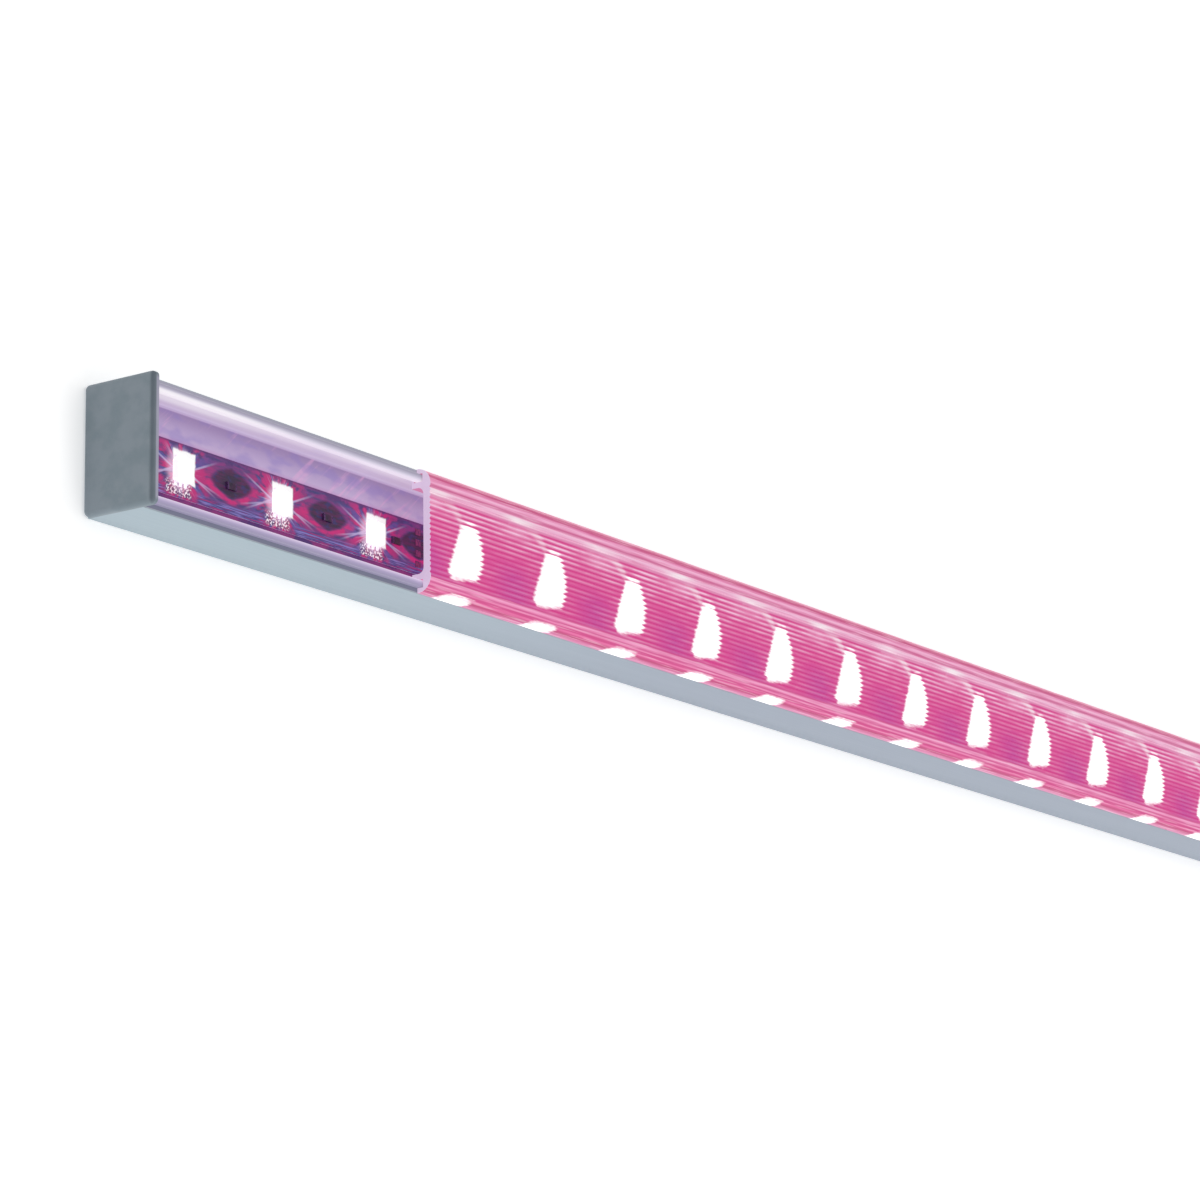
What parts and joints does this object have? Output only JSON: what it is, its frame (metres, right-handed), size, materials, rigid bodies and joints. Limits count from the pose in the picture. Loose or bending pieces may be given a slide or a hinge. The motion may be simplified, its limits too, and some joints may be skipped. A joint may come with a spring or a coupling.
{
  "type": "led strip batten",
  "caption": "Slim LED strip batten: aluminium channel, light strip on its floor, ribbed sliding cover drawn back at one end, push-fit end caps.",
  "frame": {"origin": "centre of the flat back face that the batten lies on or is fixed by", "axes": "+X along the batten from the plain cap (the end where the cover is drawn back) to the cap with the inlet; +Y across the batten; +Z the way the light leaves"},
  "size_m": [0.5148, 0.0288, 0.0193],
  "materials": {
    "anodised_channel": "satin silver anodised, fine extrusion lines along its length",
    "lit_ribbed_cover": "clear ribbed polycarbonate, glowing pink from the strip behind it",
    "grey_cap": "blue-grey moulded, fine satin texture",
    "white_tape": "double-sided acrylic foam tape",
    "dark_board": "dark solder mask lit magenta near the lights",
    "white_led_case": "white moulded reflector case",
    "led_window": "clear resin window, lit",
    "tinned_metal": "bright tin plating",
    "black_ceramic": "black glazed ceramic chip",
    "plated_copper": "thin gold-plated copper pads",
    "solder": "rounded bright solder",
    "black_socket": "black moulded nylon",
    "contact_brass": "plated contact",
    "lead_black": "soft black insulation",
    "lead_red": "soft red insulation",
    "lead_green": "soft green insulation",
    "lead_blue": "soft blue insulation",
    "zinc_steel": "zinc-plated steel"
  },
  "bodies": {
    "housing": {"channel": "anodised_channel", "end_cap_left": "grey_cap", "end_cap_right": "grey_cap", "adhesive_tape": "white_tape", "strip_board": "dark_board", "led_bodies_1": "white_led_case", "led_bodies_2": "white_led_case", "led_bodies_3": "white_led_case", "led_bodies_4": "white_led_case", "led_bodies_5": "white_led_case", "led_windows_1": "led_window", "led_windows_2": "led_window", "led_windows_3": "led_window", "led_windows_4": "led_window", "led_windows_5": "led_window", "led_pins_1": "tinned_metal", "led_pins_2": "tinned_metal", "led_pins_3": "tinned_metal", "led_pins_4": "tinned_metal", "led_pins_5": "tinned_metal", "resistors_1": "black_ceramic", "resistors_2": "black_ceramic", "resistors_3": "black_ceramic", "resistors_4": "black_ceramic", "resistors_5": "black_ceramic", "resistor_ends": "tinned_metal", "copper_pads": "plated_copper", "solder_joints": "solder", "inlet_housing": "black_socket", "inlet_contacts": "contact_brass", "lead_supply": "lead_black", "lead_red": "lead_red", "lead_green": "lead_green", "lead_blue": "lead_blue"},
    "cover": {"ribbed_cover": "lit_ribbed_cover"},
    "nut_left": {"slot_nut_left": "zinc_steel"},
    "nut_right": {"slot_nut_right": "zinc_steel"}
  },
  "joints": [
    {"name": "cover_slide", "type": "slide", "parent": "housing", "child": "cover", "axis": [1, 0, 0], "range_m": [-0.0931, 0]},
    {"name": "nut_left_slide", "type": "slide", "parent": "housing", "child": "nut_left", "axis": [1, 0, 0], "range_m": [-0.07, 0.15]},
    {"name": "nut_right_slide", "type": "slide", "parent": "housing", "child": "nut_right", "axis": [1, 0, 0], "range_m": [-0.15, 0.07]}
  ]
}
